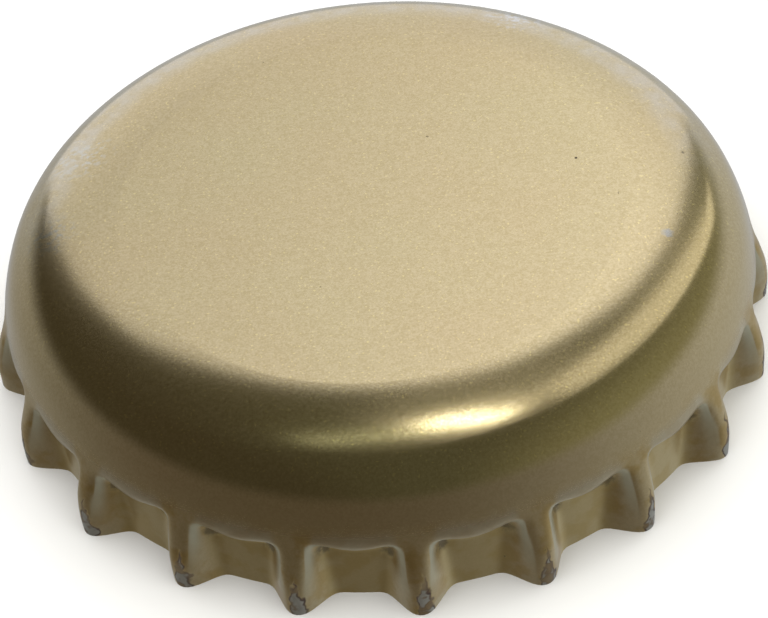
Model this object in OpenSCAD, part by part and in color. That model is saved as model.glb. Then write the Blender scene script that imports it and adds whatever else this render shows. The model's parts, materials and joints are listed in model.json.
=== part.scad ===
// Bottle cap of the crown type, crimped once and taken off again: a shell pressed from one disc
// of tinplate, with a fluted skirt, and the sealing liner that is moulded into its top.
// The origin is the centre of the plane that the flute tips stand on, and +Z runs up the axis.
// A flute tip lies on the -Y axis.

/* [Shell] */
// Outer diameter of the plain wall under the shoulder
body_d = 27; // [22.5:0.1:34]
// Height from the flute tips to the top panel
height = 6; // [5:0.1:8]
// Thickness of the tinplate
sheet_t = 0.24; // [0.18:0.01:0.32]
// Diameter of the flat top panel
panel_d = 18.2; // [14:0.1:22]
// Outer radius of the tight bend between the top and the wall
shoulder_r = 2.3; // [1.6:0.1:2.9]
// Slope that the shallow dome round the panel has reached where the tight bend starts
dome_slope = 16; // [10:1:22]

/* [Skirt] */
// Number of flutes
flutes = 21; // [18:1:24]
// How far the crimped flute tips stand out from the wall
tip_flare = 0.8; // [0.5:0.05:1.2]
// Height of the straight, crimped foot of each flute
crimp_h = 1.2; // [0.6:0.1:1.8]
// How far below the shoulder the crests of the flutes run into the wall
crest_drop = 0.1; // [0:0.05:0.5]
// Outer radius of a crest, across the flute
crest_r = 0.7; // [0.5:0.05:0.85]
// Outer radius of the bend between a crest and the valley beside it
root_r = 0.5; // [0.3:0.05:0.7]
// How far the valleys are pressed in from the wall
valley_depth = 0.3; // [0.2:0.05:0.5]
// Height of the plain wall between the shoulder and the ledges that end the valleys
wall_h = 0.6; // [0.4:0.05:1]
// Height of a ledge itself
ledge_h = 0.4; // [0.3:0.05:0.5]

/* [Liner] */
// Space left between the edge of the liner and the inside of the wall
liner_margin = 1.9; // [1.3:0.1:3.5]
// Thickness of the film over the panel
film_t = 0.3; // [0.2:0.05:0.5]
// Width of the flat land between the edge of the liner and its sealing ring
land_w = 0.3; // [0.2:0.05:0.6]
// Width of the sealing ring
ring_w = 1.6; // [1:0.1:2]
// How far the sealing ring stands down from the film
ring_h = 0.5; // [0.3:0.05:0.7]

/* [Hidden] */
$fn = 96;
GOLD_LACQUER = "#d2bf93";
LINER_GREY = "#d9dad6";

// Angles between neighbouring points of the tight bend and of the dome, and the number of
// steps across the sealing ring
BEND_STEP = 6;
DOME_STEP = 4;
RING_STEPS = 12;
// How far one solid passes into another that it joins or cuts
LAP = 0.3;

body_r = body_d / 2;
panel_r = panel_d / 2;
tip_r = body_r + tip_flare;
valley_r = body_r - valley_depth;
// Radius of the shallow dome that fills the width between the panel and the tight bend
dome_r = (body_r - panel_r - shoulder_r * (1 - sin(dome_slope))) / sin(dome_slope);
// Centre of the tight bend in the half section
shoulder_x = body_r - shoulder_r;
shoulder_z = height - dome_r * (1 - cos(dome_slope)) - shoulder_r * cos(dome_slope);
// Heights at which the crests run into the wall, and at which a valley's floor meets its ledge
crest_top_z = shoulder_z - crest_drop;
ledge_z = shoulder_z - wall_h - ledge_h;
// Distance from the cap's axis to the centre of a crest's bend and of a root's bend, and the
// angle between the two, from the triangle that they form with the axis
crest_x = tip_r - crest_r;
root_x = valley_r + root_r;
bend_gap = crest_r + root_r;
root_angle = acos((root_x ^ 2 + crest_x ^ 2 - bend_gap ^ 2) / (2 * root_x * crest_x));
// How fast the ledge and the sloping crests move out from the axis, per unit of height
ledge_slope = valley_depth / ledge_h;
flare_slope = tip_flare / (crest_top_z - crimp_h);

// Points of an arc, from angle `a0` to angle `a1`, counted from +X, in steps of about `step`
function arc_points(x, z, r, a0, a1, step) =
    let (n = max(1, round(abs(a1 - a0) / step)))
    [for (i = [0 : n]) let (a = a0 + (a1 - a0) * i / n) [x + r * cos(a), z + r * sin(a)]];

// The shallow dome from the panel's edge outwards, `inset` below the outer face
function dome_points(inset) =
    arc_points(panel_r, height - dome_r, dome_r - inset, 90, 90 - dome_slope, DOME_STEP);

// The tight bend from the dome down to the wall, `inset` inside the outer face
function shoulder_points(inset) =
    arc_points(shoulder_x, shoulder_z, shoulder_r - inset, 90 - dome_slope, 0, BEND_STEP);

// Half section of the pressed dish above the flutes, filled, `inset` inside the outer face: the
// ledge under the wall is a slope that runs on inwards, through the floors of the valleys
module dish_section(inset) {
    ledge_shift = inset * (sqrt(1 + ledge_slope ^ 2) - 1) / ledge_slope;
    polygon(concat(
        [[0, height - inset]],
        dome_points(inset),
        shoulder_points(inset),
        [
            [body_r - inset, ledge_z + ledge_h + ledge_shift],
            [valley_r - inset - LAP * ledge_slope, ledge_z + ledge_shift - LAP],
            [0, ledge_z + ledge_shift - LAP]
        ]
    ));
}

// Cross-section of the fluted skirt, filled, `inset` inside the outer face
module flute_outline(inset) {
    crest = [0, -crest_x];
    root = [root_x * sin(root_angle), -root_x * cos(root_angle)];
    circle(r = valley_r - inset);
    for (i = [0 : flutes - 1])
        rotate(i * 360 / flutes) {
            translate(crest) circle(r = crest_r - inset);
            difference() {
                polygon([[0, 0], root, crest, [-root.x, root.y]]);
                translate(root) circle(r = root_r + inset);
                translate([-root.x, root.y]) circle(r = root_r + inset);
            }
        }
}

// Radius of the slope that leads the crests into the wall, at height `z`
function flare_r(z, inset) =
    body_r + (crest_top_z - z) * flare_slope - inset * sqrt(1 + flare_slope ^ 2);

// The fluted skirt, filled: its outline, with the crests cut back to that slope
module skirt(inset, foot) {
    top_z = crest_top_z + LAP;
    intersection() {
        translate([0, 0, foot]) linear_extrude(top_z - foot) flute_outline(inset);
        translate([0, 0, foot - LAP])
            cylinder(
                h = top_z - foot + 2 * LAP,
                r1 = flare_r(foot - LAP, inset),
                r2 = flare_r(top_z + LAP, inset)
            );
    }
}

// Shell: one sheet of even thickness, open underneath
module crown_shell() {
    color(GOLD_LACQUER)
        difference() {
            union() {
                rotate_extrude() dish_section(0);
                skirt(0, 0);
            }
            union() {
                rotate_extrude() dish_section(sheet_t);
                skirt(sheet_t, -LAP);
            }
        }
}

// Liner: a film moulded onto the inside of the panel and dome, with a sealing ring near its edge.
// Its upper face is the inside of the sheet itself.
module sealing_liner() {
    liner_r = body_r - sheet_t - liner_margin;
    ring_r = liner_r - land_w - ring_w / 2;
    film_z = height - sheet_t - film_t;
    ring = [
        for (i = [0 : RING_STEPS])
            let (x = ring_r + ring_w * (0.5 - i / RING_STEPS))
            [x, film_z - ring_h * (1 + cos(360 * (x - ring_r) / ring_w)) / 2]
    ];
    color(LINER_GREY)
        rotate_extrude()
            intersection() {
                dish_section(sheet_t);
                polygon(concat(
                    [[0, height], [liner_r, height], [liner_r, film_z]],
                    ring,
                    [[0, film_z]]
                ));
            }
}

crown_shell();
sealing_liner();
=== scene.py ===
# %% [markdown]
# # A bottle cap in gold lacquer
#
# The object is a bottle cap of the crown type that has been crimped on a bottle and taken off
# again. It has two pieces: a shell pressed from one disc of tinplate, with 21 flutes round its
# skirt, and a soft liner moulded into the top. It lies on its flutes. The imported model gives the
# frame, and this script gives the two pieces their finished shapes and surfaces.

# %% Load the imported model
import json
import math

import bpy
import numpy as np
from mathutils import Matrix, Vector


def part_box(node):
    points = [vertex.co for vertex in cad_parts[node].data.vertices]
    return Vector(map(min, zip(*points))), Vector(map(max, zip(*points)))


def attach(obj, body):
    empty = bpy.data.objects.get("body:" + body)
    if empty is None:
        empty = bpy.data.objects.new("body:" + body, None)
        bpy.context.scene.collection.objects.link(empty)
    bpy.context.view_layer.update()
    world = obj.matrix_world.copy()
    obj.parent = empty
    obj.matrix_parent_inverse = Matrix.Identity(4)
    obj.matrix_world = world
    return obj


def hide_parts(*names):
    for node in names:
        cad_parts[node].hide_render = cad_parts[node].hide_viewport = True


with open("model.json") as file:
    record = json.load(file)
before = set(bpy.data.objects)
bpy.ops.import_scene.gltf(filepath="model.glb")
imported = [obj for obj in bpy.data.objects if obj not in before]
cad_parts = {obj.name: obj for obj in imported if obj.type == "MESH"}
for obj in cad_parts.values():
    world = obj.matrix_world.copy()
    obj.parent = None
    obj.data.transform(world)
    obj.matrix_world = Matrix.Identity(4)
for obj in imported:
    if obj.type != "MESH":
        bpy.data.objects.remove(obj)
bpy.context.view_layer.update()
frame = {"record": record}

MM = 0.001

# %% [markdown]
# ## Sizes
#
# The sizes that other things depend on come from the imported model: the height and the tips from
# the shell's box, the sheet's thickness from the step between the shell's top and the liner's,
# and the valleys from the mount that grips the bottle. The rest belongs to the pressed shape
# alone and is named where it is used.

# %% Sizes taken from the frame
shell_low, shell_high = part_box("crown_shell")
liner_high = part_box("sealing_liner")[1]
grip = next(m for m in frame["record"]["mounts"] if m["name"] == "finish_grip")

CAP_H = shell_high.z
TIP_R = -shell_low.y
SHEET_T = CAP_H - liner_high.z
VALLEY_R = grip["dims"]["r_mm"] * MM + SHEET_T
LINER_R = liner_high.x
FLUTES = 21
for name, size in (("height", CAP_H), ("tips", TIP_R), ("sheet", SHEET_T), ("valleys", VALLEY_R)):
    print(f"{name}: {size / MM:.2f} mm")

# %% [markdown]
# ## Camera
#
# The cap is small and was seen from close by, through a long lens, from 43 degrees above the
# table, so the far side is only a little smaller than the near one. The picture is turned by a
# few degrees about the line of sight, which is a roll and not a shift.

# %% Camera
EYE = Vector((-1.16, -65.05, 63.37)) * MM
AIM = Vector((-0.01, -2.67, 3.0)) * MM
LENS_MM = 113.8
ROLL = math.radians(-6.15)

camera = bpy.data.objects.new("camera", bpy.data.cameras.new("camera"))
camera.data.lens = LENS_MM
camera.data.sensor_width = 36
camera.data.clip_start = 1 * MM
facing = (AIM - EYE).to_track_quat("-Z", "Y").to_matrix() @ Matrix.Rotation(ROLL, 3, "Z")
camera.matrix_world = Matrix.Translation(EYE) @ facing.to_4x4()
bpy.context.scene.collection.objects.link(camera)
bpy.context.scene.camera = camera
print(f"camera {(AIM - EYE).length / MM:.0f} mm from the cap")

# %% [markdown]
# ## Two helpers
#
# Every tree below, for a shape or for a finish, is written with one function that adds a node,
# gives it its settings and joins its inputs. Every round piece starts as a half section that is
# turned about the axis.

# %% Helpers
def add(tree, kind, inputs=(), **settings):
    """Adds a node, sets its fields, fills or links its inputs, and returns its first output."""
    node = tree.nodes.new(kind)
    for field, setting in settings.items():
        setattr(node, field, setting)
    for key, value in inputs.items() if isinstance(inputs, dict) else enumerate(inputs):
        if isinstance(value, bpy.types.NodeSocket):
            tree.links.new(value, node.inputs[key])
        elif value is not None:
            node.inputs[key].default_value = value
    return next((socket for socket in node.outputs if socket.enabled), None)


def arc(centre_r, centre_z, radius, start, end, count):
    """Points of an arc in the half section, angles in degrees from +r, start left out."""
    angles = [math.radians(start + (end - start) * i / count) for i in range(1, count + 1)]
    return [(centre_r + radius * math.cos(a), centre_z + radius * math.sin(a)) for a in angles]


def line(start, end, count):
    """Points of a straight stretch in the half section, start left out."""
    return [
        tuple(p + (q - p) * i / count for p, q in zip(start, end)) for i in range(1, count + 1)
    ]


def spin(name, section, steps):
    """A mesh object: a half section that starts on the axis, turned about Z, -Y first."""
    closed = section[-1][0] == 0
    rings = section[1:-1] if closed else section[1:]
    verts = [(0, 0, section[0][1])]
    for r, z in rings:
        turns = (2 * math.pi * k / steps for k in range(steps))
        verts += [(r * math.sin(a), -r * math.cos(a), z) for a in turns]
    faces = [(0, 1 + k, 1 + (k + 1) % steps) for k in range(steps)]
    for ring in range(len(rings) - 1):
        a, b = 1 + ring * steps, 1 + (ring + 1) * steps
        faces += [(a + k, b + k, b + (k + 1) % steps, a + (k + 1) % steps) for k in range(steps)]
    if closed:
        pole = len(verts)
        verts.append((0, 0, section[-1][1]))
        faces += [(pole, pole - steps + (k + 1) % steps, pole - steps + k) for k in range(steps)]
    mesh = bpy.data.meshes.new(name)
    mesh.from_pydata(verts, [], faces)
    made = bpy.data.objects.new(name, mesh)
    bpy.context.scene.collection.objects.link(made)
    return made


# %% [markdown]
# ## The pressed dish
#
# A press first draws the disc of tinplate into a plain dish: a flat panel, a shallow dome that
# you only notice in the reflections, a tight shoulder and a straight wall. It could be drawn
# with a curve and a Screw modifier. Arcs and straight lines in a list give exact radii instead,
# and let the rings lie close together where the flutes will be pressed.

# %% The dish
WALL_R = 13.5 * MM
PANEL_R = 9.1 * MM
EDGE_R = 2 * MM
SHOULDER_R = 2.3 * MM
EDGE_SLOPE = math.radians(4)
DOME_SLOPE = math.radians(16)
STEPS_PER_FLUTE = 32

edge_w = EDGE_R * math.sin(EDGE_SLOPE)
shoulder_w = SHOULDER_R * (1 - math.sin(DOME_SLOPE))
dome_w = WALL_R - PANEL_R - edge_w - shoulder_w
dome_r = dome_w / (math.sin(DOME_SLOPE) - math.sin(EDGE_SLOPE))
edge_z = CAP_H - EDGE_R
dome_z = edge_z + (EDGE_R - dome_r) * math.cos(EDGE_SLOPE)
shoulder_z = dome_z + (dome_r - SHOULDER_R) * math.cos(DOME_SLOPE)
dome_x = PANEL_R + (EDGE_R - dome_r) * math.sin(EDGE_SLOPE)

dish_section = [(0, CAP_H)]
dish_section += line((0, CAP_H), (PANEL_R, CAP_H), 6)
dish_section += arc(PANEL_R, edge_z, EDGE_R, 90, 86, 4)
dish_section += arc(dome_x, dome_z, dome_r, 86, 74, 7)
dish_section += arc(WALL_R - SHOULDER_R, shoulder_z, SHOULDER_R, 74, 0, 16)
dish_section += line((WALL_R, shoulder_z), (WALL_R, 0), 34)
dish = spin("dish", dish_section, FLUTES * STEPS_PER_FLUTE)
print(f"dish: {len(dish_section)} rings, shoulder ends at {shoulder_z / MM:.2f} mm")

# %% [markdown]
# ## The flutes
#
# A second die presses 21 flutes into the wall, and crimping on the bottle bends their feet in
# again. Each flute is a crest that leaves the wall gently and runs down steeply. Between two
# crests the wall bulges into a soft lip and then steps in to a flat panel that grips the glass.
#
# This is a shape that follows a rule, so Geometry Nodes press it: each point of the dish moves
# in or out by an amount that depends on its distance from the nearest crest and on its height.
# Two blends do the work. `ridge` goes from 0 in a valley to 1 on a crest, and `lip` goes from 0
# on the flat panel to 1 on the wall above it. Their product rounds the corners by itself.

# %% The tree that presses the flutes
def draw_curve(socket, points):
    """Sets the points of a Float Curve node, given its output socket."""
    curve = socket.node.mapping.curves[0]
    for i, (x, y) in enumerate(points):
        point = curve.points[i] if i < 2 else curve.points.new(x, y)
        point.location = (x, y)
    socket.node.mapping.update()


def flute_tree():
    """Geometry Nodes tree that presses the flutes into a plain dish."""
    tree = bpy.data.node_groups.new("press_flutes", "GeometryNodeTree")
    face = tree.interface
    face.new_socket("Geometry", in_out="INPUT", socket_type="NodeSocketGeometry")
    for name, kind in (
        ("Flutes", "Int"), ("Wall Radius", "Float"), ("Flare", "Float"), ("Valley Depth", "Float"),
        ("Lip Bulge", "Float"), ("Lip Height", "Float"), ("Lip Drop", "Float"),
        ("Crest Top", "Float"), ("Corner Depth", "Float"), ("Unevenness", "Float"), ("Seed", "Int"),
        ("Material", "Material"),
    ):
        face.new_socket(name, in_out="INPUT", socket_type="NodeSocket" + kind)
    face.new_socket("Geometry", in_out="OUTPUT", socket_type="NodeSocketGeometry")
    given = tree.nodes.new("NodeGroupInput").outputs
    m = "ShaderNodeMath"
    fade = "ShaderNodeMapRange"

    # Where the point is: its turn round the axis, counted in flutes, its radius and its height
    place = add(tree, "GeometryNodeInputPosition")
    x, y, z = add(tree, "ShaderNodeSeparateXYZ", (place,)).node.outputs
    flat = add(tree, "ShaderNodeCombineXYZ", (x, y))
    radius = add(tree, "ShaderNodeVectorMath", (flat,), operation="LENGTH").node.outputs["Value"]
    minus_y = add(tree, m, (y, -1.0), operation="MULTIPLY")
    angle = add(tree, m, (x, minus_y), operation="ARCTAN2")
    full_turn = add(tree, m, (given["Flutes"], 2 * math.pi), operation="DIVIDE")
    turn = add(tree, m, (angle, full_turn), operation="MULTIPLY")
    crest = add(tree, m, (turn, 0.0), operation="ROUND")
    crest_id = add(tree, m, (crest, given["Flutes"]), operation="FLOORED_MODULO")
    valley = add(tree, m, (turn, 0.0), operation="FLOOR")
    valley_id = add(tree, m, (valley, given["Flutes"]), operation="FLOORED_MODULO")
    length = add(tree, m, (given["Wall Radius"], full_turn), operation="DIVIDE")

    # Each crest and each valley is a little off, as the crimping die left it
    def uneven(number, shift):
        seed = add(tree, m, (given["Seed"], shift), operation="ADD")
        span = add(tree, m, (given["Unevenness"], -1.0), operation="MULTIPLY")
        return add(
            tree, "FunctionNodeRandomValue",
            {2: span, 3: given["Unevenness"], "ID": number, "Seed": seed}, data_type="FLOAT",
        )

    off = add(tree, m, (turn, crest), operation="SUBTRACT")
    off_mm = add(tree, m, (off, length), operation="MULTIPLY")
    nudged = add(tree, m, (off_mm, uneven(crest_id, 1)), operation="ADD")
    from_crest = add(tree, m, (nudged,), operation="ABSOLUTE")
    centred = add(tree, m, (off_mm,), operation="ABSOLUTE")

    # The crest's half width, flat and at the foot of its flank, at this height
    h = add(tree, m, (z, given["Crest Top"]), operation="DIVIDE")
    flat_w = add(tree, fade, (h, 0.0, 0.65, 0.24 * MM, 0.42 * MM))
    foot_w = add(tree, fade, (h, 0.05, 0.65, 1.10 * MM, 0.80 * MM))
    ridge = add(tree, fade, (from_crest, foot_w, flat_w, 0.0, 1.0))

    # The lip hangs lowest in the middle of a valley
    sag = add(tree, fade, (centred, 0.7 * MM, 1.8 * MM, 0.16 * MM, -0.08 * MM))
    lip_z = add(tree, m, (given["Lip Height"], sag), operation="ADD")
    lip_z = add(tree, m, (uneven(valley_id, 2), 2.2, lip_z), operation="MULTIPLY_ADD")
    aside = add(tree, m, (turn, valley), operation="SUBTRACT")
    aside = add(tree, fade, (aside, 0.0, 1.0, -2.5, 2.5))
    lip_z = add(tree, m, (uneven(valley_id, 4), aside, lip_z), operation="MULTIPLY_ADD")
    lip_low = add(tree, m, (lip_z, given["Lip Drop"]), operation="SUBTRACT")
    lip = add(tree, fade, (z, lip_low, lip_z, 0.0, 1.0), interpolation_type="SMOOTHSTEP")

    # What is neither ridge nor lip is the flat panel of a valley
    not_ridge = add(tree, m, (1.0, ridge), operation="SUBTRACT")
    not_lip = add(tree, m, (1.0, lip), operation="SUBTRACT")
    pressed_in = add(tree, m, (not_ridge, not_lip), operation="MULTIPLY")

    # A dimple in each upper corner, where the sheet was drawn in from two sides
    across = add(tree, m, (from_crest, 0.92 * MM), operation="SUBTRACT")
    across = add(tree, m, (across, 0.25 * MM), operation="DIVIDE")
    below = add(tree, m, (z, lip_low), operation="SUBTRACT")
    below = add(tree, m, (below, 0.18 * MM), operation="ADD")
    below = add(tree, m, (below, 0.3 * MM), operation="DIVIDE")
    across = add(tree, m, (across, 2.0), operation="POWER")
    spread = add(tree, m, (below, below, across), operation="MULTIPLY_ADD")
    corner = add(tree, m, (math.exp(-1), spread), operation="POWER")

    # Radius: the crest's line on the ridges, the bulge on the lip, the flat panel below it
    crest_line = add(tree, "ShaderNodeFloatCurve", {"Value": h})
    draw_curve(crest_line, [(0, 1), (1, 0), (0.3, 0.96), (0.55, 0.66), (0.8, 0.22)])
    bulge_line = add(tree, "ShaderNodeFloatCurve", {"Value": h})
    draw_curve(bulge_line, [(0, 0), (1, 0), (0.55, 0.6), (0.72, 1), (0.88, 0.45)])
    crest_size = add(tree, m, (given["Flare"], uneven(crest_id, 3)), operation="ADD")
    lift = add(tree, m, (crest_line, crest_size), operation="MULTIPLY")
    lift = add(tree, m, (lift, ridge), operation="MULTIPLY")
    bulge = add(tree, m, (bulge_line, given["Lip Bulge"]), operation="MULTIPLY")
    bulge = add(tree, m, (bulge, lip), operation="MULTIPLY")
    bulged = add(tree, m, (bulge, not_ridge), operation="MULTIPLY")
    bulged = add(tree, m, (bulged, given["Lip Bulge"]), operation="DIVIDE")
    bulge = add(tree, m, (bulge, not_ridge, lift), operation="MULTIPLY_ADD")
    dimple = add(tree, m, (corner, given["Corner Depth"], given["Valley Depth"]),
                 operation="MULTIPLY_ADD")
    dent = add(tree, m, (pressed_in, dimple), operation="MULTIPLY")
    move = add(tree, m, (bulge, dent), operation="SUBTRACT")
    on_skirt = add(tree, m, (h, 1.0), operation="LESS_THAN")
    move = add(tree, m, (move, on_skirt), operation="MULTIPLY")
    soft = add(
        tree, "GeometryNodeBlurAttribute", {"Value": move, "Iterations": 4}, data_type="FLOAT"
    )
    scale = add(tree, m, (soft, radius), operation="DIVIDE")
    shift = add(tree, "ShaderNodeVectorMath", {0: flat, "Scale": scale}, operation="SCALE")
    shape = add(
        tree, "GeometryNodeSetPosition",
        {"Geometry": given["Geometry"], "Offset": shift},
    )

    # Marks that the finish reads: distance from the crest, depth in the valley, wear of the foot
    wear = add(
        tree, "FunctionNodeRandomValue",
        {2: 0.0, 3: 1.0, "ID": crest_id, "Seed": given["Seed"]}, data_type="FLOAT",
    )
    marks = {
        "crest_x": nudged, "pressed_in": pressed_in, "bulged": bulged, "corner": corner,
        "foot_wear": wear,
    }
    for name, value in marks.items():
        shape = add(
            tree, "GeometryNodeStoreNamedAttribute",
            {"Geometry": shape, "Name": name, "Value": value}, data_type="FLOAT", domain="POINT",
        )
    whole = add(tree, "GeometryNodeRealizeInstances", (shape,))
    coated = add(
        tree, "GeometryNodeSetMaterial", {"Geometry": whole, "Material": given["Material"]}
    )
    add(tree, "NodeGroupOutput", {"Geometry": coated})
    return tree


def set_input(modifier, name, value):
    """Sets one input of a Geometry Nodes modifier by its socket's identifier."""
    sockets = modifier.node_group.interface.items_tree
    socket = next(s for s in sockets if s.name == name and s.in_out == "INPUT")
    modifier[socket.identifier] = value


# %% [markdown]
# ## Colours and pattern sizes
#
# Colours are written as you would pick them on a screen and turned into the linear values that
# a renderer works with, by one function. Patterns are given by the real width of their grains.

# %% Colour and scale
def srgb(hex_code):
    """An sRGB hex colour as linear RGBA."""
    parts = (int(hex_code[i:i + 2], 16) / 255 for i in (1, 3, 5))
    return (*(c / 12.92 if c <= 0.04045 else ((c + 0.055) / 1.055) ** 2.4 for c in parts), 1)


def per_mm(size_mm):
    """Texture scale, in cycles per metre, of a pattern whose grains are this many mm wide."""
    return 1 / (size_mm * MM)


# %% [markdown]
# ## Gold lacquer on tinplate
#
# The sheet was roller coated with a tinted varnish that holds fine flake, and stoved before it
# was pressed. So it is a metal finish, not a paint: its colour is the tint of the reflection.
# A painted colour with a clear coat would look like plastic here, because you would see the
# colour in the dark parts of the reflection too.
#
# Pressing changed the finish. Lacquer on the skirt was stretched and is duller. Light is painted in
# too: painted glints of the flake on the top, a pale painted reflection on the bends, on the bulges
# above the lips and on the far side of the rim, and painted shade in the upper corners of the
# valleys. The opener and the table have scraped the feet of the flutes to bare steel with a brown
# border. The tree follows that order, from the fresh sheet to the last scratch, and reads the marks
# that the press stored on the mesh.

# %% Single marks and scuffs: place (mm), size (mm), colour
MARKS = (
    ((10.1, -3.5, 5.94), 0.4, "#c9c5b8"), ((7.5, 0.8, 6.0), 0.09, "#5a5142"),
    ((11.4, 0.8, 5.72), 0.16, "#6a6452"), ((7.6, -11.15, 1.7), 0.22, "#4a4236"),
    ((-10.75, 3.7, 5.89), 0.14, "#6e6a5a"),
)
SCUFFS = (((-10.6, 4.6, 5.9), 1.9, "#e2dcc8"), ((-11.6, 0.4, 5.7), 1.4, "#cfc8b0"),
          ((6.6, 10.2, 5.75), 1.8, "#efece2"))

print(f"{len(MARKS)} marks, {len(SCUFFS)} patches of scuffs")


# %% The lacquer's tree
def gold_lacquer():
    """Gold-tinted varnish with fine aluminium flake, roller coated on tinplate and stoved."""
    material = bpy.data.materials.new("gold_lacquer_on_tinplate")
    material.use_nodes = True
    tree = material.node_tree
    tree.nodes.clear()
    m = "ShaderNodeMath"
    fade = "ShaderNodeMapRange"
    place = add(tree, "ShaderNodeTexCoord").node.outputs["Object"]

    def noise(grain_mm, detail=2.0):
        return add(
            tree, "ShaderNodeTexNoise",
            {"Vector": place, "Scale": per_mm(grain_mm), "Detail": detail},
        )

    def mark(name):
        return add(tree, "ShaderNodeAttribute", attribute_name=name).node.outputs["Fac"]

    def over(factor, below, above):
        return add(
            tree, "ShaderNodeMix", {"Factor": factor, "A": below, "B": above}, data_type="RGBA"
        )

    def soft_step(value, low, high):
        return add(tree, fade, (value, low, high, 0.0, 1.0), interpolation_type="SMOOTHSTEP")

    # Where the point lies: down on the drawn skirt, or up on the shoulder and the panel
    x, y, z = add(tree, "ShaderNodeSeparateXYZ", (place,)).node.outputs
    flat = add(tree, "ShaderNodeCombineXYZ", (x, y))
    radius = add(tree, "ShaderNodeVectorMath", (flat,), operation="LENGTH").node.outputs["Value"]
    drawn = soft_step(z, 3.9 * MM, 2.9 * MM)
    on_top = add(tree, fade, (z, 3.9 * MM, 5.9 * MM, 0.45, 0.95))

    # Flake: fine grain in tone and in slope, and painted glints: bright flake dots painted into the
    # colour
    fine = noise(0.08, 1.0)
    grain = noise(0.16, 2.0)
    mixed = add(tree, m, (fine, grain), operation="ADD")
    mixed = add(tree, fade, (mixed, 0.72, 1.28, -0.5, 0.5))
    speckle = add(tree, m, (mixed, on_top, 0.5), operation="MULTIPLY_ADD")
    tone = over(speckle, srgb("#d1c297"), srgb("#e2d4ad"))
    # Painted glints of the flake, on the shoulder and the top only
    flake_painted_glint = add(tree, fade, (noise(0.1, 0.0), 0.71, 0.78, 0.0, 0.6))
    flake_painted_glint = add(tree, m, (flake_painted_glint, soft_step(z, 4.2 * MM, 5.6 * MM)), operation="MULTIPLY")
    tone = over(flake_painted_glint, tone, srgb("#fff0b4"))
    tint = over(noise(6), srgb("#fffdf2"), srgb("#fff5ea"))
    stain = add(tree, m, (soft_step(noise(0.9, 3.0), 0.42, 0.62), drawn), operation="MULTIPLY")
    tint = over(stain, tint, srgb("#f0e0bd"))
    tone = add(
        tree, "ShaderNodeMix", {"Factor": 1.0, "A": tone, "B": tint},
        data_type="RGBA", blend_type="MULTIPLY",
    )
    slope = add(tree, m, (mixed, on_top), operation="MULTIPLY")
    bump = add(
        tree, "ShaderNodeBump", {"Strength": 1.0, "Distance": 0.00025 * MM, "Height": slope}
    )

    # Bends: the stretched lacquer is duller there, and their pale colour is a painted reflection
    depth = mark("pressed_in")
    bend = add(tree, m, (soft_step(depth, 0.0, 0.08), soft_step(depth, 0.75, 0.25)),
               operation="MULTIPLY")
    bend = add(tree, m, (bend, add(tree, fade, (z, 0.6 * MM, 2.3 * MM, 0.15, 0.9))),
               operation="MULTIPLY")
    tone = over(bend, tone, srgb("#d6d4bb"))
    # Painted reflection: the bulge above each lip faces a little upwards and is painted paler
    paler = add(tree, m, (soft_step(mark("bulged"), 0.15, 0.9), 0.38), operation="MULTIPLY")
    tone = over(paler, tone, srgb("#dfdcc9"))
    yellow = add(tree, m, (soft_step(depth, 0.6, 1.0), 0.5), operation="MULTIPLY")
    tone = over(yellow, tone, srgb("#e0cc8e"))

    # The far side of the rim is painted paler, in a band broken up by noise: a painted reflection
    far_rim_painted_sheen = add(tree, m, (soft_step(radius, 10.7 * MM, 11.7 * MM), soft_step(z, 4.8 * MM, 5.4 * MM)),
                 operation="MULTIPLY")
    far_rim_painted_sheen = add(tree, m, (far_rim_painted_sheen, soft_step(y, -3 * MM, 5 * MM)), operation="MULTIPLY")
    far_rim_painted_sheen = add(tree, m, (far_rim_painted_sheen, add(tree, fade, (noise(0.7, 3.0), 0.3, 0.6, 0.1, 0.4))),
                 operation="MULTIPLY")
    tone = over(far_rim_painted_sheen, tone, srgb("#e9e6dc"))

    # Painted shade in the upper corners of the valleys, under the lips, and a few dark specks of dirt
    corner = add(tree, m, (mark("corner"), noise(0.25)), operation="MULTIPLY")
    corner = add(tree, m, (soft_step(corner, 0.04, 0.42), soft_step(depth, 0.1, 0.5)),
                 operation="MULTIPLY")
    specks = add(tree, fade, (noise(0.45, 3.0), 0.77, 0.80, 0.0, 0.8))
    shade_and_specks = add(tree, m, (corner, 0.9, specks), operation="MULTIPLY_ADD", use_clamp=True)
    tone = over(shade_and_specks, tone, srgb("#655a41"))

    # Single marks: scuffs on the left of the rim, a fleck on the right, three dark specks
    for spot, size, colour in MARKS:
        at = [value * MM for value in spot]
        far = add(tree, "ShaderNodeVectorMath", (place, at), operation="DISTANCE")
        far = far.node.outputs["Value"]
        far = add(tree, m, (noise(0.15), -0.5 * size * MM, far), operation="MULTIPLY_ADD")
        near = soft_step(far, 0.5 * size * MM, 0.1 * size * MM)
        tone = over(near, tone, srgb(colour))

    # Scuffs in patches on the rim, where it rubbed: short pale scratches along the edge
    turned = add(tree, "ShaderNodeVectorMath", (place, (1.0, 1.0, 0.3)), operation="MULTIPLY")
    scratch = add(
        tree, "ShaderNodeTexNoise", {"Vector": turned, "Scale": per_mm(0.22), "Detail": 3.0},
    )
    for spot, size, colour in SCUFFS:
        at = [value * MM for value in spot]
        far = add(tree, "ShaderNodeVectorMath", (place, at), operation="DISTANCE")
        patch = soft_step(far.node.outputs["Value"], size * MM, 0.2 * size * MM)
        worn = add(tree, m, (patch, 0.05, scratch), operation="MULTIPLY_ADD")
        worn = add(tree, m, (soft_step(worn, 0.5, 0.72), patch), operation="MULTIPLY")
        tone = over(worn, tone, srgb(colour))

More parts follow.
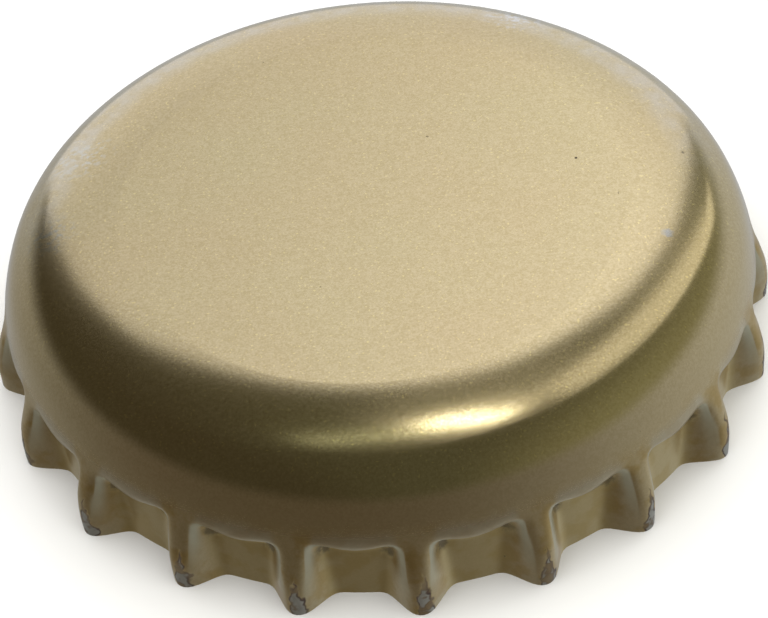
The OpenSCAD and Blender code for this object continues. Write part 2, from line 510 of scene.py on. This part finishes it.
    # The foot of each crest is scraped to bare steel, with a rusty brown border
    side = add(tree, m, (noise(0.4, 1.5), 0.5), operation="SUBTRACT")
    side = add(tree, m, (side, 0.45 * MM, mark("crest_x")), operation="MULTIPLY_ADD")
    lean = add(tree, fade, (mark("foot_wear"), 0.0, 1.0, -0.12 * MM, 0.14 * MM))
    side = add(tree, m, (add(tree, m, (side, lean), operation="SUBTRACT"),),
               operation="ABSOLUTE")
    top = add(tree, fade, (mark("foot_wear"), 0.0, 1.0, 1.2 * MM, 2.3 * MM))
    width = add(tree, m, (z, top), operation="DIVIDE")
    width = add(tree, fade, (width, 0.2, 1.0, 0.26 * MM, -0.08 * MM))
    edge = add(tree, m, (width, side), operation="SUBTRACT")
    rust = add(tree, m, (soft_step(edge, -0.06 * MM, 0.01 * MM), soft_step(depth, 0.6, 0.4)),
               operation="MULTIPLY")
    rust = add(tree, m, (rust, add(tree, fade, (noise(0.5), 0.35, 0.55, 0.7, 1.0))),
               operation="MULTIPLY")
    bare = soft_step(edge, 0.02 * MM, 0.08 * MM)
    bare = add(tree, m, (bare, soft_step(noise(0.5, 2.0), 0.40, 0.52)), operation="MULTIPLY")
    bare = add(tree, m, (bare, rust), operation="MULTIPLY")
    tone = over(rust, tone, srgb("#4a382f"))
    tone = over(bare, tone, srgb("#bab9ae"))

    rough = add(tree, fade, (drawn, 0.0, 1.0, 0.165, 0.34))
    rough = add(tree, m, (bend, 0.14, rough), operation="MULTIPLY_ADD")
    rough = add(tree, m, (rust, 0.1, rough), operation="MULTIPLY_ADD")
    metal = add(tree, m, (drawn, -0.02, 1.0), operation="MULTIPLY_ADD")
    metal = add(tree, m, (bend, -0.14, metal), operation="MULTIPLY_ADD")
    # Rust, dirt specks and the painted corner shade make the surface less metallic, except where bare
    rust_dirt_and_shade = add(tree, m, (rust, shade_and_specks), operation="MAXIMUM")
    rust_dirt_and_shade = add(tree, m, (rust_dirt_and_shade, bare), operation="SUBTRACT", use_clamp=True)
    metal = add(tree, m, (rust_dirt_and_shade, -0.6, metal), operation="MULTIPLY_ADD")
    metal = add(tree, m, (bare, -0.1, metal), operation="MULTIPLY_ADD")

    shader = add(
        tree, "ShaderNodeBsdfPrincipled",
        {"Base Color": tone, "Metallic": metal, "Roughness": rough, "Normal": bump},
    )
    add(tree, "ShaderNodeOutputMaterial", (shader,))
    return material


# %% [markdown]
# ## Other finishes
#
# The inside of the sheet has a clear varnish, so the tin shows through almost white. The cut
# edge is bare steel. The liner is a soft compound that was stamped in while hot, which leaves a
# satin skin with very faint rings. None of them needs more than a few nodes, so they start from
# the stock shader and change only what differs.

# %% Inside varnish, liner compound and plain finishes
def inside_varnish():
    """Clear varnish on the inside of the tinplate: bright metal with a faint straw tint."""
    material = bpy.data.materials.new("clear_varnish_on_tinplate")
    material.use_nodes = True
    tree = material.node_tree
    shader = tree.nodes["Principled BSDF"]
    place = add(tree, "ShaderNodeTexCoord").node.outputs["Object"]
    cloud = add(
        tree, "ShaderNodeTexNoise", {"Vector": place, "Scale": per_mm(1.6), "Detail": 3.0}
    )
    tone = add(
        tree, "ShaderNodeMix", {"Factor": cloud, "A": srgb("#c3bda6"), "B": srgb("#d6d0bb")},
        data_type="RGBA",
    )
    rough = add(tree, "ShaderNodeMapRange", (cloud, 0.3, 0.7, 0.24, 0.34))
    tree.links.new(tone, shader.inputs["Base Color"])
    tree.links.new(rough, shader.inputs["Roughness"])
    shader.inputs["Metallic"].default_value = 1.0
    return material


def moulded_compound():
    """Soft grey-white compound, stamped while hot: satin, with faint rings from the punch."""
    material = bpy.data.materials.new("liner_compound")
    material.use_nodes = True
    tree = material.node_tree
    shader = tree.nodes["Principled BSDF"]
    place = add(tree, "ShaderNodeTexCoord").node.outputs["Object"]
    x, y, _ = add(tree, "ShaderNodeSeparateXYZ", (place,)).node.outputs
    flat = add(tree, "ShaderNodeCombineXYZ", (x, y))
    radius = add(tree, "ShaderNodeVectorMath", (flat,), operation="LENGTH").node.outputs["Value"]
    rings = add(
        tree, "ShaderNodeTexNoise", {"W": radius, "Scale": per_mm(0.5), "Detail": 2.0},
        noise_dimensions="1D",
    )
    cloud = add(
        tree, "ShaderNodeTexNoise", {"Vector": place, "Scale": per_mm(2.5), "Detail": 3.0}
    )
    tone = add(
        tree, "ShaderNodeMix", {"Factor": cloud, "A": srgb("#cfd0ca"), "B": srgb("#dfe0db")},
        data_type="RGBA",
    )
    rough = add(tree, "ShaderNodeMapRange", (rings, 0.3, 0.7, 0.38, 0.5))
    bump = add(
        tree, "ShaderNodeBump", {"Strength": 1.0, "Distance": 0.008 * MM, "Height": rings}
    )
    tree.links.new(tone, shader.inputs["Base Color"])
    tree.links.new(rough, shader.inputs["Roughness"])
    tree.links.new(bump, shader.inputs["Normal"])
    shader.inputs["IOR"].default_value = 1.52
    return material


def plain(name, colour, metallic, roughness):
    """A finish of one colour."""
    material = bpy.data.materials.new(name)
    material.use_nodes = True
    shader = material.node_tree.nodes["Principled BSDF"]
    shader.inputs["Base Color"].default_value = srgb(colour)
    shader.inputs["Metallic"].default_value = metallic
    shader.inputs["Roughness"].default_value = roughness
    return material


lacquer = gold_lacquer()
cut_edge = plain("cut_edge", "#9b9a93", 1.0, 0.35)

# %% [markdown]
# ## Press the sheet
#
# The press works on a surface without thickness, and the sheet gets its thickness afterwards,
# inwards from the lacquered face. That is the reverse of the real order, but it keeps the
# outside exact and gives the same even wall everywhere. Its open edge closes with a strip of
# bare metal, the cut that the blanking die left.

# %% Press the flutes and give the sheet its thickness
press = dish.modifiers.new("press", "NODES")
press.node_group = flute_tree()
for name, value in (
    ("Flutes", FLUTES), ("Wall Radius", WALL_R), ("Flare", TIP_R - WALL_R),
    ("Valley Depth", WALL_R - VALLEY_R + 0.04 * MM), ("Lip Bulge", 0.19 * MM),
    ("Lip Height", 2.86 * MM), ("Lip Drop", 0.55 * MM), ("Crest Top", 3.9 * MM),
    ("Corner Depth", 0.07 * MM), ("Unevenness", 0.05 * MM), ("Seed", 3), ("Material", lacquer),
):
    set_input(press, name, value)

wall = dish.modifiers.new("sheet", "SOLIDIFY")
wall.thickness = SHEET_T
wall.offset = -1
wall.use_even_offset = True
dish.data.materials.append(lacquer)
dish.data.materials.append(cut_edge)
dish.data.materials.append(inside_varnish())
wall.material_offset_rim = 1
wall.material_offset = 2


def make_real(source, name):
    """The evaluated object as a plain mesh object; the source is removed."""
    graph = bpy.context.evaluated_depsgraph_get()
    mesh = bpy.data.meshes.new_from_object(source.evaluated_get(graph))
    mesh.name = name
    made = bpy.data.objects.new(name, mesh)
    bpy.context.scene.collection.objects.link(made)
    bpy.data.objects.remove(source)
    return made


shell = make_real(dish, "lacquered_shell")
spots = np.empty(3 * len(shell.data.vertices))
shell.data.vertices.foreach_get("co", spots)
spots = spots.reshape(-1, 3)
sunk = int((spots[:, 2] < 0).sum())
spots[:, 2] = spots[:, 2].clip(0, None)
shell.data.vertices.foreach_set("co", spots.ravel())
print(f"foot trimmed level: {sunk} points")
shell.data.polygons.foreach_set("use_smooth", [True] * len(shell.data.polygons))
shell.data.set_sharp_from_angle(angle=math.radians(60))
shell.data.update()
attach(shell, "root")
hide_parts("crown_shell")
shell.data.calc_loop_triangles()
print(f"shell: {len(shell.data.loop_triangles)} triangles", [mt.name for mt in shell.data.materials])

# %% [markdown]
# ## The liner
#
# A drop of compound is punched out against the inside of the top. The punch leaves a thin film
# in the middle, a raised ring that seals on the bottle's lip, and a narrow land outside it. The
# upper face follows the inside of the sheet, and the ring is one wave of a cosine.

# %% The liner
RING_W = 1.6 * MM
RING_H = 0.45 * MM
RING_STEPS = 24
FILM_T = 0.3 * MM
LAND_W = 0.3 * MM
LAND_DROP = 0.1 * MM
film_z = liner_high.z - FILM_T
land_z = film_z - LAND_DROP
land_r = LINER_R - LAND_W
rim_turn = math.degrees(math.acos((LINER_R - dome_x) / (dome_r - SHEET_T)))

liner_section = [(0, liner_high.z)]
liner_section += line((0, liner_high.z), (PANEL_R, liner_high.z), 3)
liner_section += arc(PANEL_R, edge_z, EDGE_R - SHEET_T, 90, 86, 2)
liner_section += arc(dome_x, dome_z, dome_r - SHEET_T, 86, rim_turn, 6)
liner_section += [(LINER_R, land_z)]
liner_section += line((LINER_R, land_z), (land_r, land_z), 2)
for i in range(1, RING_STEPS + 1):
    t = i / RING_STEPS
    wave = (1 - math.cos(2 * math.pi * t)) / 2
    liner_section.append((land_r - RING_W * t, land_z + (film_z - land_z) * t - RING_H * wave))
liner_section += line(liner_section[-1], (0, film_z), 6)
liner = spin("moulded_liner", liner_section, 192)
liner.data.materials.append(moulded_compound())
liner.data.polygons.foreach_set("use_smooth", [True] * len(liner.data.polygons))
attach(liner, "root")
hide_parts("sealing_liner")
print(f"liner: {len(liner_section)} points, {LINER_R / MM:.2f} mm out, up to {rim_turn:.0f} degrees")

# %% [markdown]
# ## Floor and light
#
# Lacquered metal shows its surroundings more than itself, so the surroundings are built with
# care. A tall window stands behind the cap and fills the top panel with daylight. Above it are a
# small lamp, which makes the bright spot on the front shoulder, and a faint glow of the ceiling.
# A second, narrow window on the right draws the pale streak along that side. The table is white
# to the eye but is left out of reflections, where a room with a brown table takes its place.

# %% Floor
def sheet(name, corners, material):
    """A flat sheet of the stage."""
    mesh = bpy.data.meshes.new(name)
    mesh.from_pydata(corners, [], [tuple(range(len(corners)))])
    mesh.materials.append(material)
    made = bpy.data.objects.new(name, mesh)
    bpy.context.scene.collection.objects.link(made)
    return made


FLOOR = 2
floor = sheet(
    "floor", [(-FLOOR, -FLOOR, 0), (FLOOR, -FLOOR, 0), (FLOOR, FLOOR, 0), (-FLOOR, FLOOR, 0)],
    plain("pale_floor", "#f4f3f0", 0.0, 0.9),
)
floor.visible_glossy = False


# %% The window
def window_glow():
    """Daylight in a window: paler to the right high up, even low down, weak under the sill."""
    material = bpy.data.materials.new("window_glow")
    material.use_nodes = True
    tree = material.node_tree
    tree.nodes.clear()
    fade = "ShaderNodeMapRange"
    place = add(tree, "ShaderNodeTexCoord").node.outputs["Object"]
    x, _, z = add(tree, "ShaderNodeSeparateXYZ", (place,)).node.outputs
    power = add(tree, fade, (x, -0.09, 0.12, 0.83, 1.2))
    power = add(tree, fade, (z, 0.25, 0.44, 1.02, power))
    power = add(tree, "ShaderNodeMath", (power, add(tree, fade, (z, 0.45, 0.64, 1.0, 1.18))),
                operation="MULTIPLY")
    light = add(tree, "ShaderNodeEmission", (srgb("#e4e6f0"), power))
    add(tree, "ShaderNodeOutputMaterial", (light,))
    return material


WINDOW_Y = 0.6
window = sheet(
    "window_card",
    [(x * WINDOW_Y, WINDOW_Y, z * WINDOW_Y) for x, z in
     ((-0.56, -0.02), (0.64, -0.02), (0.61, 0.60), (0.63, 1.05), (0.55, 1.38), (0.26, 1.58),
      (0.0, 1.50), (-0.2, 1.40), (-0.47, 1.30), (-0.565, 0.98))],
    window_glow(),
)
window.visible_camera = False


# %% Lamps and the second window
def softbox(name, azimuth, elevation, distance, width, height, brightness, colour="#ffffff"):
    """A rectangular light that faces the cap. Azimuth 0 is in front and 90 to the right."""
    a, e = math.radians(azimuth), math.radians(elevation)
    away = Vector((math.sin(a) * math.cos(e), -math.cos(a) * math.cos(e), math.sin(e)))
    light = bpy.data.lights.new(name, "AREA")
    light.shape = "RECTANGLE"
    light.size, light.size_y = width, height
    light.energy = brightness * math.pi * width * height
    light.color = srgb(colour)[:3]
    lamp = bpy.data.objects.new(name, light)
    centre = Vector((0, 0, CAP_H / 2))
    lamp.matrix_world = (
        Matrix.Translation(centre + away * distance)
        @ away.to_track_quat("Z", "Y").to_matrix().to_4x4()
    )
    lamp.visible_camera = False
    bpy.context.scene.collection.objects.link(lamp)
    return lamp


softbox("lamp", 155, 72.5, 0.6, 0.1, 0.03, 7.0)
softbox("lamp_spill", 188, 75, 0.6, 0.15, 0.045, 0.5, "#f4ffec")
softbox("right_window", 136, 46, 0.6, 0.085, 0.45, 0.72)
softbox("ceiling", 163, 65, 0.6, 0.17, 0.14, 0.13)
overhead = softbox("overhead", 0, 90, 0.8, 1.4, 1.4, 2.3)
overhead.visible_glossy = False


# %% The room
def room():
    """The room: brown in front, grey-green to the right, dark to the left; paper to the camera."""
    world = bpy.data.worlds.new("room")
    bpy.context.scene.world = world
    world.use_nodes = True
    tree = world.node_tree
    tree.nodes.clear()
    way = add(tree, "ShaderNodeTexCoord").node.outputs["Generated"]
    x, y, z = add(tree, "ShaderNodeSeparateXYZ", (way,)).node.outputs
    fade = "ShaderNodeMapRange"

    def blend(socket, low, high, a, b):
        share = add(tree, fade, (socket, low, high, 0.0, 1.0), interpolation_type="SMOOTHSTEP")
        return add(tree, "ShaderNodeMix", {"Factor": share, "A": a, "B": b}, data_type="RGBA")

    # Low down, the table is pale beside and behind the cap and in shade in front of it
    aslant = add(tree, "ShaderNodeMath", (y, 0.8), operation="MULTIPLY")
    aslant = add(tree, "ShaderNodeMath", (x, 0.5, aslant), operation="MULTIPLY_ADD")
    table = blend(aslant, -1.1, 1.4, srgb("#59524a"), srgb("#c8cdd6"))
    # Higher up, the room is dark to the left and paler to the right
    sides = blend(x, -0.5, 0.1, srgb("#454136"), srgb("#545447"))
    sides = blend(x, 0.1, 1.0, sides, srgb("#8b8c77"))
    sides = blend(z, 0.5, 0.1, sides, table)
    path = add(tree, "ShaderNodeLightPath").node.outputs["Is Camera Ray"]
    walls = add(tree, "ShaderNodeBackground", (sides, 1.0))
    paper = add(tree, "ShaderNodeBackground", (srgb("#f4f3f0"), 1.0))
    both = add(tree, "ShaderNodeMixShader", (path, walls, paper))
    add(tree, "ShaderNodeOutputWorld", (both,))


room()
bpy.context.scene.view_settings.view_transform = "Standard"
